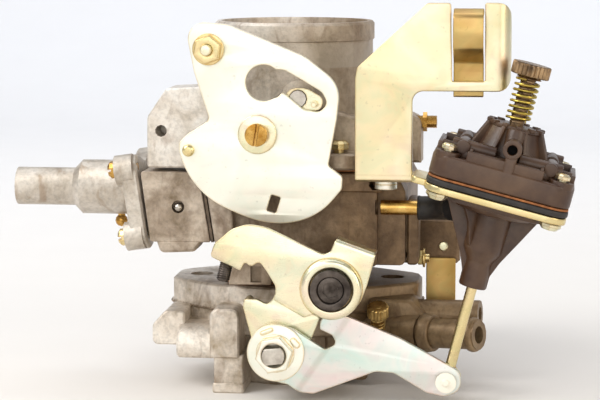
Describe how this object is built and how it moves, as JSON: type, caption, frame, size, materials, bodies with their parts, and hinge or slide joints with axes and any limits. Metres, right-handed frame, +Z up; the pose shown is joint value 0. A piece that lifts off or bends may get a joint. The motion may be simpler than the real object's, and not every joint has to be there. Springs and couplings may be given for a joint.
{
  "type": "single-barrel downdraft carburettor",
  "caption": "Downdraft carburettor with a choke cam plate, fast-idle and throttle levers, a leaning vacuum throttle positioner with push rod, a cable bracket and a side hose spigot.",
  "frame": {"origin": "centre of the bounding box in X and Y, on the plane of the base", "axes": "+X to the right seen from the lever side and towards the vacuum positioner, +Y away from the lever side, +Z up along the barrel to the air horn"},
  "size_m": [0.2084, 0.1606, 0.1425],
  "materials": {
    "cast": "sand-blasted die casting, warm grey",
    "cast_light": "die casting, light warm grey",
    "steel": "bright steel",
    "brass": "turned brass",
    "pale_zinc_plate": "yellow-passivated zinc plate, pale",
    "gold_zinc_plate": "yellow-passivated zinc plate, gold",
    "nylon": "natural nylon",
    "dark_steel": "blackened steel",
    "float_plastic": "moulded float",
    "black_plastic": "glass-filled nylon, brown black",
    "rubber": "black rubber",
    "gasket": "fibre gasket"
  },
  "bodies": {
    "carburettor": {"throttle_body": "cast_light", "main_body": "cast", "air_horn_cover": "cast", "booster_venturi": "cast", "side_housing": "cast", "spigot_cover": "cast_light", "pump_cover": "cast_light", "check_ball": "steel", "float_pin": "steel", "idle_cutoff_valve": "steel", "cam_pivot_screw": "brass", "vacuum_tube": "brass", "fuel_nipple": "brass", "spigot_plug": "brass", "needle_seat": "brass", "positioner_plate": "pale_zinc_plate", "bracket_screw": "pale_zinc_plate", "cover_screw": "pale_zinc_plate", "spigot_screw_1": "pale_zinc_plate", "spigot_screw_2": "pale_zinc_plate", "cable_bracket": "gold_zinc_plate", "cable_clamp": "gold_zinc_plate", "cam_pivot_washer": "gold_zinc_plate", "adjuster_spring": "gold_zinc_plate", "rear_strap": "gold_zinc_plate", "fast_idle_bolt": "dark_steel", "throttle_return_spring": "dark_steel", "positioner_upper_housing": "black_plastic", "positioner_lower_housing": "black_plastic", "positioner_diaphragm_rim": "rubber", "rubber_sleeve": "rubber", "positioner_gasket": "gasket", "cover_gasket": "gasket", "insulator": "gasket", "side_gasket": "gasket", "positioner_screw_1": "steel", "positioner_screw_2": "steel", "positioner_screw_3": "steel", "positioner_screw_4": "steel"},
    "choke_cam_set": {"choke_cam": "pale_zinc_plate", "cam_cable_stud": "steel", "cam_cable_nut": "gold_zinc_plate"},
    "choke_valve": {"choke_shaft": "steel", "choke_plate": "brass", "choke_lever": "pale_zinc_plate"},
    "fast_idle": {"fast_idle_lever": "pale_zinc_plate"},
    "idle_screw": {"fast_idle_screw": "dark_steel"},
    "throttle": {"throttle_shaft": "steel", "throttle_plate": "brass", "throttle_stop_lever": "pale_zinc_plate", "shaft_washer": "pale_zinc_plate", "shaft_nut": "pale_zinc_plate", "cable_lever": "pale_zinc_plate"},
    "positioner_arm": {"positioner_lever": "pale_zinc_plate", "positioner_pin": "nylon"},
    "positioner_rod": {"push_rod": "gold_zinc_plate"},
    "adjuster": {"adjuster_knob": "dark_steel"},
    "mixture_screw": {"idle_mixture_screw": "brass"},
    "float_body": {"float": "float_plastic"},
    "needle": {"needle_valve": "steel"}
  },
  "joints": [
    {"name": "cam_turn", "type": "hinge", "parent": "carburettor", "child": "choke_cam_set", "pos_m": [-0.00852, -0.04575, 0.0951], "axis": [0, 1, 0], "range_deg": [0, 26]},
    {"name": "choke_turn", "type": "hinge", "parent": "carburettor", "child": "choke_valve", "pos_m": [0.00558, -0.00175, 0.1077], "axis": [0, 1, 0], "range_deg": [0, 39]},
    {"name": "fast_idle_turn", "type": "hinge", "parent": "carburettor", "child": "fast_idle", "pos_m": [0.01988, -0.06275, 0.0423], "axis": [0, -1, 0], "range_deg": [0, 7]},
    {"name": "idle_screw_turn", "type": "hinge", "parent": "fast_idle", "child": "idle_screw", "pos_m": [-0.01972, -0.05805, 0.0436], "axis": [0.2352, 0, 0.972], "continuous": true},
    {"name": "throttle_turn", "type": "hinge", "parent": "carburettor", "child": "throttle", "pos_m": [-0.00042, -0.00175, 0.0183], "axis": [0, -1, 0], "range_deg": [0, 70], "stiffness_Nm_per_rad": 0.05, "springref_deg": -45.84},
    {"name": "positioner_turn", "type": "hinge", "parent": "carburettor", "child": "positioner_arm", "pos_m": [-0.00042, -0.05775, 0.0183], "axis": [0, -1, 0], "range_deg": [-2, 7], "stiffness_Nm_per_rad": 2.5},
    {"name": "rod_slide", "type": "slide", "parent": "carburettor", "child": "positioner_rod", "axis": [0.2504, 0, 0.9681], "range_m": [-0.0023, 0.0078]},
    {"name": "adjuster_turn", "type": "hinge", "parent": "carburettor", "child": "adjuster", "pos_m": [0.08522, -0.05375, 0.10551], "axis": [0.2504, 0, 0.9681], "continuous": true},
    {"name": "mixture_turn", "type": "hinge", "parent": "carburettor", "child": "mixture_screw", "pos_m": [0.03431, -0.03855, 0.02866], "axis": [0.035, -0.4501, 0.8923], "continuous": true},
    {"name": "float_turn", "type": "hinge", "parent": "carburettor", "child": "float_body", "pos_m": [0.00858, 0.03775, 0.0752], "axis": [1, 0, 0], "range_deg": [0, 6]},
    {"name": "needle_slide", "type": "slide", "parent": "carburettor", "child": "needle", "axis": [0, 0, -1], "range_m": [0, 0.0005]}
  ],
  "couplings": [
    {"joint": "choke_turn", "follows": "cam_turn", "ratio": 1.5},
    {"joint": "fast_idle_turn", "follows": "cam_turn", "ratio": 0.26},
    {"joint": "rod_slide", "follows": "positioner_turn", "m_per_rad": 0.0605},
    {"joint": "needle_slide", "follows": "float_turn", "m_per_rad": 0.004}
  ]
}
